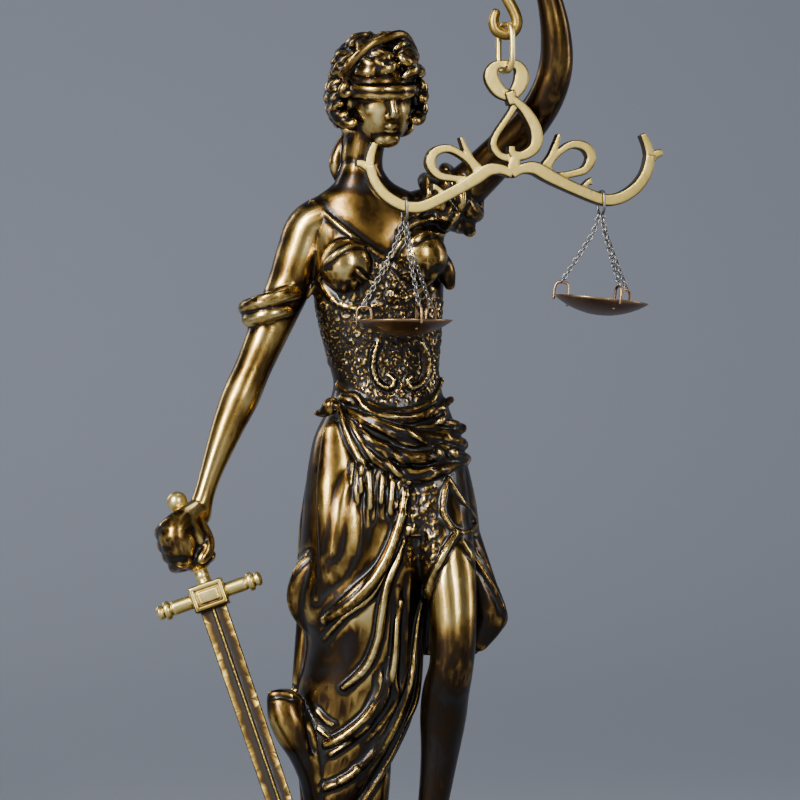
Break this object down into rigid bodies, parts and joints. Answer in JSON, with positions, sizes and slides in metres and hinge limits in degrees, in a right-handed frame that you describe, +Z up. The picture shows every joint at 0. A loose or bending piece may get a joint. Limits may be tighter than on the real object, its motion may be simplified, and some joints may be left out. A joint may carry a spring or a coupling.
{
  "type": "lady justice statuette",
  "caption": "Desk-top statuette of a blindfolded Lady Justice with a lowered sword and hanging scales, antique brass finish.",
  "frame": {"origin": "middle of the plinth's underside", "axes": "+Z up, the statue faces -Y, +X to the viewer's right"},
  "size_m": [0.1502, 0.098, 0.3351],
  "materials": {
    "antique_brass": "antiqued, dark in the hollows, lacquered",
    "worn_brass": "antiqued, rubbed bright on the edges",
    "pan_brass": "brown toned, satin",
    "dark_bronze": "dark brown patina, lacquered",
    "steel_wire": "dull plated wire"
  },
  "bodies": {
    "root": {"plinth": "dark_bronze", "figure": "antique_brass", "sword": "worn_brass", "scale_hook": "worn_brass", "scale_link": "worn_brass", "balance_beam": "worn_brass", "left_ring": "steel_wire", "right_ring": "steel_wire", "left_pan": "pan_brass", "right_pan": "pan_brass", "left_chain_1": "steel_wire", "left_chain_2": "steel_wire", "left_chain_3": "steel_wire", "right_chain_1": "steel_wire", "right_chain_2": "steel_wire", "right_chain_3": "steel_wire"}
  },
  "joints": []
}
